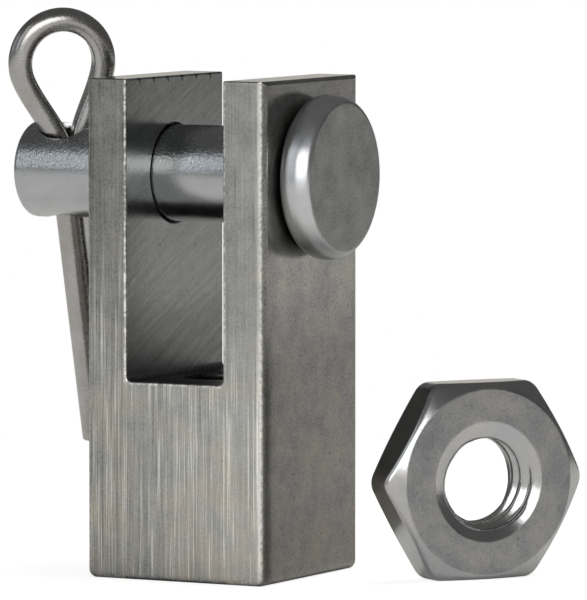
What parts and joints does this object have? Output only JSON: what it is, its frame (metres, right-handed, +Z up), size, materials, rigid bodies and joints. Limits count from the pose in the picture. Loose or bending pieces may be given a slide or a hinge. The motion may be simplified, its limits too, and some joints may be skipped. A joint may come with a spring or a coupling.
{
  "type": "clevis rod end",
  "caption": "Square slotted clevis for the end of a threaded rod, with a headed clevis pin held by a cotter pin and a hexagon jam nut.",
  "frame": {"origin": "mouth of the rod's threaded hole, in the middle of the bottom face", "axes": "+Z up the body along the rod's axis, +X along the clevis pin towards its head, the slot opens towards -Y and +Y"},
  "size_m": [0.0254, 0.0132, 0.0268],
  "materials": {
    "body_steel": "ground faces with fine upright scratches, satin",
    "pin_steel": "turned, satin",
    "cotter_steel": "drawn wire, semi-gloss",
    "nut_steel": "pressed face, satin, with glossy chamfers"
  },
  "bodies": {
    "body": {"clevis_body": "body_steel", "jam_nut": "nut_steel"},
    "pin": {"clevis_pin": "pin_steel"},
    "cotter": {"cotter_pin": "cotter_steel"}
  },
  "joints": [
    {"name": "pin_turn", "type": "hinge", "parent": "body", "child": "pin", "pos_m": [0, 0, 0.01897], "axis": [1, 0, 0], "continuous": true},
    {"name": "cotter_draw", "type": "slide", "parent": "pin", "child": "cotter", "axis": [0, -0.225, 0.9744], "range_m": [0, 0.016]}
  ]
}
